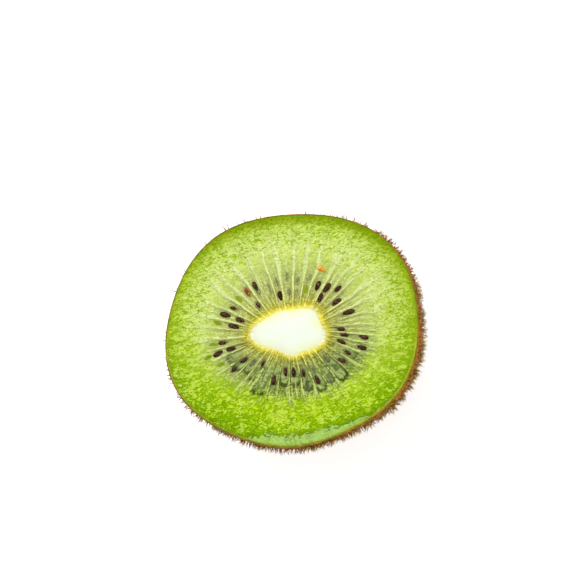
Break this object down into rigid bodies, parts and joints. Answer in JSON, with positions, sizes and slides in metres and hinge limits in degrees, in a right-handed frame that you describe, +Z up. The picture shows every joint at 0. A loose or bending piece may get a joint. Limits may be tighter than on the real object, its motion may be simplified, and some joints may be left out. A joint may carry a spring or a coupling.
{
  "type": "kiwi fruit half",
  "caption": "Half of a fresh kiwi fruit, cut across its middle: furry brown skin, green flesh with pale rays and a ring of dark seeds, and a pale core.",
  "frame": {"origin": "on the surface that the fruit rests on, under the middle of its bounding box", "axes": "+Z up, out of the cut face; +X along the longer diameter of the cut face"},
  "size_m": [0.055, 0.0498, 0.0333],
  "materials": {
    "flesh": "moist green flesh, paler along the rays, with fine wet grain towards the rim",
    "core": "moist creamy white, yellow at its edge",
    "skin": "thin dull brown skin, speckled rust and olive, with short stiff fur",
    "seed": "glossy purple-brown"
  },
  "bodies": {
    "root": {"flesh": "flesh", "core": "core"}
  },
  "joints": []
}
